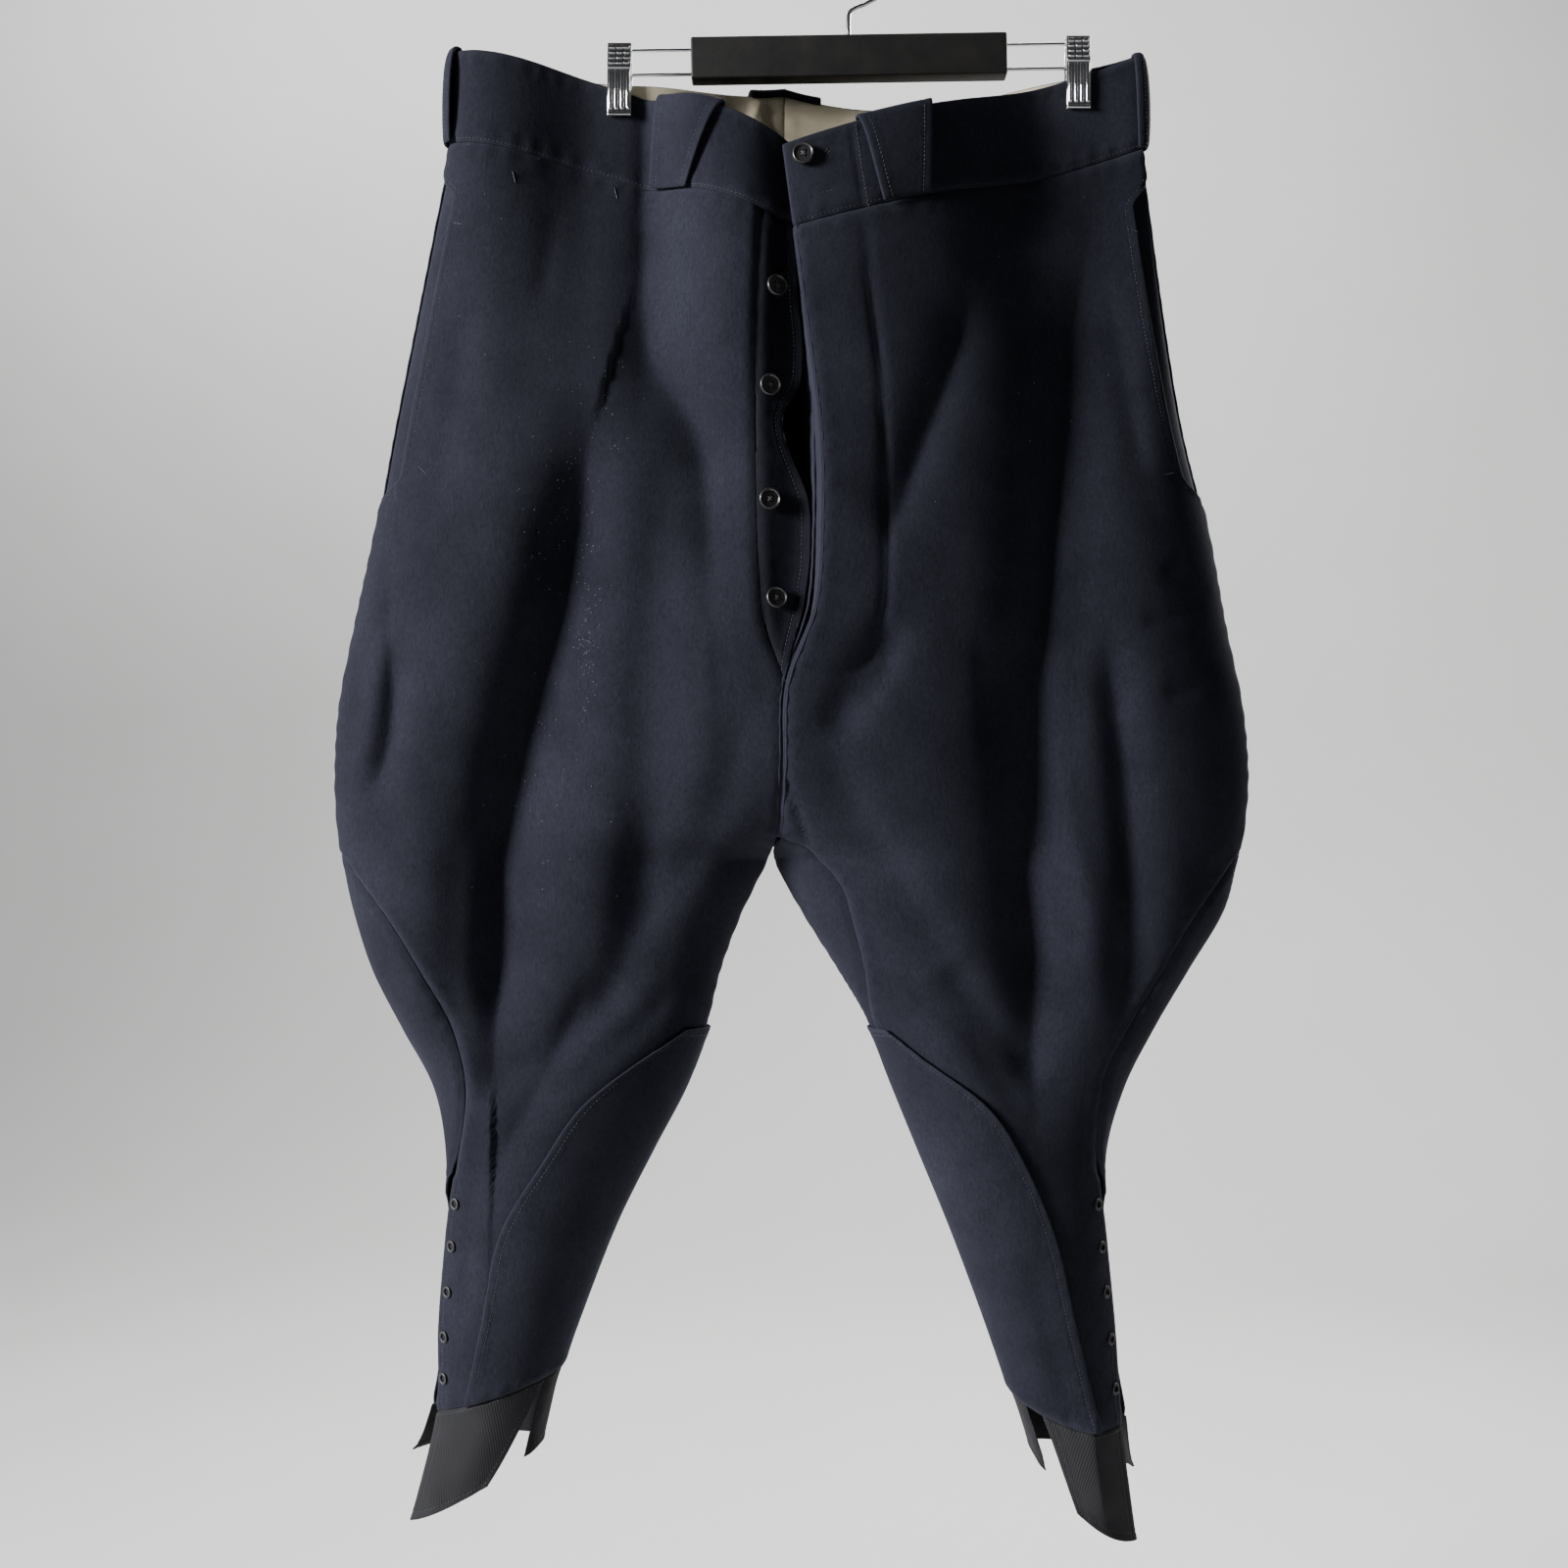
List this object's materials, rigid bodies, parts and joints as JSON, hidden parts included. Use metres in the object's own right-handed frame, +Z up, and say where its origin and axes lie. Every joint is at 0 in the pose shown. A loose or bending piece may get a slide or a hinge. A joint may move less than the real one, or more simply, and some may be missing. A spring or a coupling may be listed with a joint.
{
  "type": "military breeches on a clip hanger",
  "caption": "Wide-hipped wool riding breeches with a buttoned fly, knee patches and side slits, hung by the waist from a bar hanger with two spring clips.",
  "frame": {"origin": "inner top of the hanger's hook, where a peg or rail bears", "axes": "+Z up along the hanging length, the garment's front faces -Y, the wearer's left is +X"},
  "size_m": [0.6148, 0.1191, 1.0825],
  "materials": {
    "wool": "dark navy melton wool, matt, faint nap",
    "grey_cotton": "grey-black twilled cotton, worn",
    "lining_cotton": "cream cotton drill, plain weave",
    "button_plastic": "glossy black four-hole buttons",
    "eyelet_metal": "black japanned brass eyelets",
    "hanger_black": "satin black lacquer",
    "chrome": "bright chrome plate"
  },
  "bodies": {
    "root": {"back_left": "wool", "back_right": "wool", "belt_loop_back": "wool", "belt_loop_front_left": "wool", "belt_loop_front_right": "wool", "belt_loop_side_left": "wool", "belt_loop_side_right": "wool", "button_fly_1": "button_plastic", "button_fly_2": "button_plastic", "button_fly_3": "button_plastic", "button_fly_4": "button_plastic", "button_waist": "button_plastic", "clip_back_left": "chrome", "clip_back_right": "chrome", "clip_front_left": "chrome", "clip_front_right": "chrome", "continuation_back_left": "grey_cotton", "continuation_back_right": "grey_cotton", "continuation_front_left": "grey_cotton", "continuation_front_right": "grey_cotton", "eyelet_back_left_1": "eyelet_metal", "eyelet_back_left_2": "eyelet_metal", "eyelet_back_left_3": "eyelet_metal", "eyelet_back_left_4": "eyelet_metal", "eyelet_back_left_5": "eyelet_metal", "eyelet_back_right_1": "eyelet_metal", "eyelet_back_right_2": "eyelet_metal", "eyelet_back_right_3": "eyelet_metal", "eyelet_back_right_4": "eyelet_metal", "eyelet_back_right_5": "eyelet_metal", "eyelet_front_left_1": "eyelet_metal", "eyelet_front_left_2": "eyelet_metal", "eyelet_front_left_3": "eyelet_metal", "eyelet_front_left_4": "eyelet_metal", "eyelet_front_left_5": "eyelet_metal", "eyelet_front_right_1": "eyelet_metal", "eyelet_front_right_2": "eyelet_metal", "eyelet_front_right_3": "eyelet_metal", "eyelet_front_right_4": "eyelet_metal", "eyelet_front_right_5": "eyelet_metal", "fly_facing": "grey_cotton", "fly_underlap": "wool", "front_left": "wool", "front_right": "wool", "hanger_bar": "hanger_black", "hanger_hook": "chrome", "hanger_rail_left": "chrome", "hanger_rail_right": "chrome", "knee_patch_left": "wool", "knee_patch_right": "wool", "pocket_facing_left": "wool", "pocket_facing_right": "wool", "waist_lining_left": "lining_cotton", "waist_lining_right": "lining_cotton", "waistband_left": "wool", "waistband_right": "wool"}
  },
  "joints": []
}
